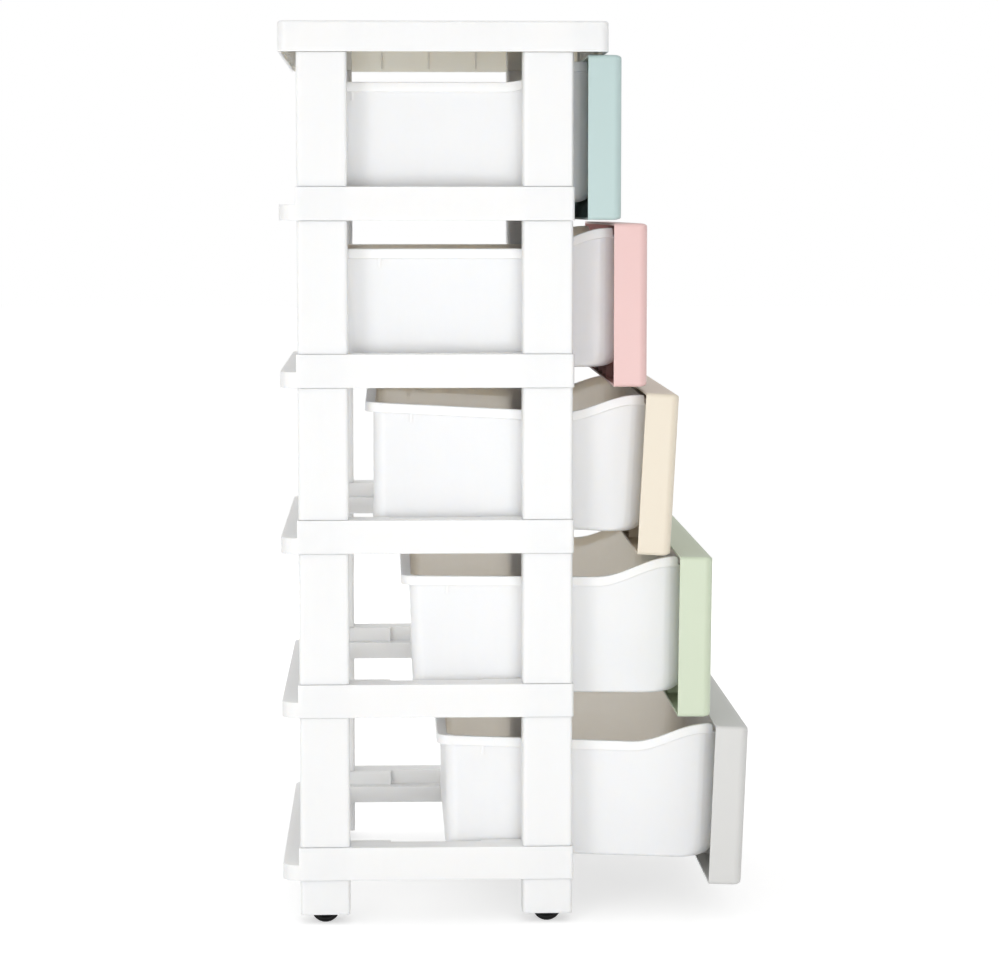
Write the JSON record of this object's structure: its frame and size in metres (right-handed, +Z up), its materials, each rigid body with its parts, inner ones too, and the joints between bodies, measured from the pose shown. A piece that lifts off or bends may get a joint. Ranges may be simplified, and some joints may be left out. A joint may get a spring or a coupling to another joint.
{
  "type": "drawer tower",
  "caption": "Tall plastic storage tower on hidden rollers: open post-and-shelf frame, deep white tub drawers with pastel fronts, pulled out like stairs.",
  "frame": {"origin": "on the floor, under the centre of the box round the tower with its drawers as the picture shows them", "axes": "+Z up; the drawer fronts face -Y and the drawers pull out along -Y; +X to the right of someone who faces the fronts"},
  "size_m": [0.484, 0.4994, 0.9595],
  "materials": {
    "frame_white": "satin moulded",
    "tub_white": "satin moulded",
    "mint_plastic": "satin moulded",
    "pink_plastic": "satin moulded",
    "cream_plastic": "satin moulded",
    "green_plastic": "satin moulded",
    "grey_plastic": "satin moulded",
    "roller_black": "satin moulded",
    "axle_steel": "drawn wire"
  },
  "bodies": {
    "carcass": {"top_cover": "frame_white", "shelf_frame_1": "frame_white", "shelf_frame_2": "frame_white", "shelf_frame_3": "frame_white", "shelf_frame_4": "frame_white", "shelf_frame_5": "frame_white", "post_1_rear_left": "frame_white", "post_1_rear_right": "frame_white", "post_1_front_left": "frame_white", "post_1_front_right": "frame_white", "post_2_rear_left": "frame_white", "post_2_rear_right": "frame_white", "post_2_front_left": "frame_white", "post_2_front_right": "frame_white", "post_3_rear_left": "frame_white", "post_3_rear_right": "frame_white", "post_3_front_left": "frame_white", "post_3_front_right": "frame_white", "post_4_rear_left": "frame_white", "post_4_rear_right": "frame_white", "post_4_front_left": "frame_white", "post_4_front_right": "frame_white", "post_5_rear_left": "frame_white", "post_5_rear_right": "frame_white", "post_5_front_left": "frame_white", "post_5_front_right": "frame_white", "foot_rear_left": "frame_white", "foot_rear_right": "frame_white", "foot_front_left": "frame_white", "foot_front_right": "frame_white", "axle_rear_left": "axle_steel", "axle_rear_right": "axle_steel", "axle_front_left": "axle_steel", "axle_front_right": "axle_steel"},
    "drawer_1": {"drawer_tub_1": "tub_white", "drawer_front_1": "mint_plastic"},
    "drawer_2": {"drawer_tub_2": "tub_white", "drawer_front_2": "pink_plastic"},
    "drawer_3": {"drawer_tub_3": "tub_white", "drawer_front_3": "cream_plastic"},
    "drawer_4": {"drawer_tub_4": "tub_white", "drawer_front_4": "green_plastic"},
    "drawer_5": {"drawer_tub_5": "tub_white", "drawer_front_5": "grey_plastic"},
    "roller_rear_left": {"wheel_rear_left": "roller_black"},
    "roller_rear_right": {"wheel_rear_right": "roller_black"},
    "roller_front_left": {"wheel_front_left": "roller_black"},
    "roller_front_right": {"wheel_front_right": "roller_black"}
  },
  "joints": [
    {"name": "drawer_1_slide", "type": "slide", "parent": "carcass", "child": "drawer_1", "axis": [0, -1, 0], "range_m": [-0.0133, 0.1812]},
    {"name": "drawer_2_slide", "type": "slide", "parent": "carcass", "child": "drawer_2", "axis": [0, -1, 0], "range_m": [-0.0411, 0.1534]},
    {"name": "drawer_3_slide", "type": "slide", "parent": "carcass", "child": "drawer_3", "axis": [0, -1, 0], "range_m": [-0.067, 0.121]},
    {"name": "drawer_4_slide", "type": "slide", "parent": "carcass", "child": "drawer_4", "axis": [0, -0.9999, -0.0105], "range_m": [-0.1108, 0.0823]},
    {"name": "drawer_5_slide", "type": "slide", "parent": "carcass", "child": "drawer_5", "axis": [0, -0.9992, -0.0401], "range_m": [-0.1453, 0.044]},
    {"name": "roller_rear_left_spin", "type": "hinge", "parent": "carcass", "child": "roller_rear_left", "pos_m": [-0.219, 0.20423, 0.0155], "axis": [1, 0, 0], "continuous": true},
    {"name": "roller_rear_right_spin", "type": "hinge", "parent": "carcass", "child": "roller_rear_right", "pos_m": [0.219, 0.20423, 0.0155], "axis": [1, 0, 0], "continuous": true},
    {"name": "roller_front_left_spin", "type": "hinge", "parent": "carcass", "child": "roller_front_left", "pos_m": [-0.219, -0.03377, 0.0155], "axis": [1, 0, 0], "continuous": true},
    {"name": "roller_front_right_spin", "type": "hinge", "parent": "carcass", "child": "roller_front_right", "pos_m": [0.219, -0.03377, 0.0155], "axis": [1, 0, 0], "continuous": true}
  ]
}
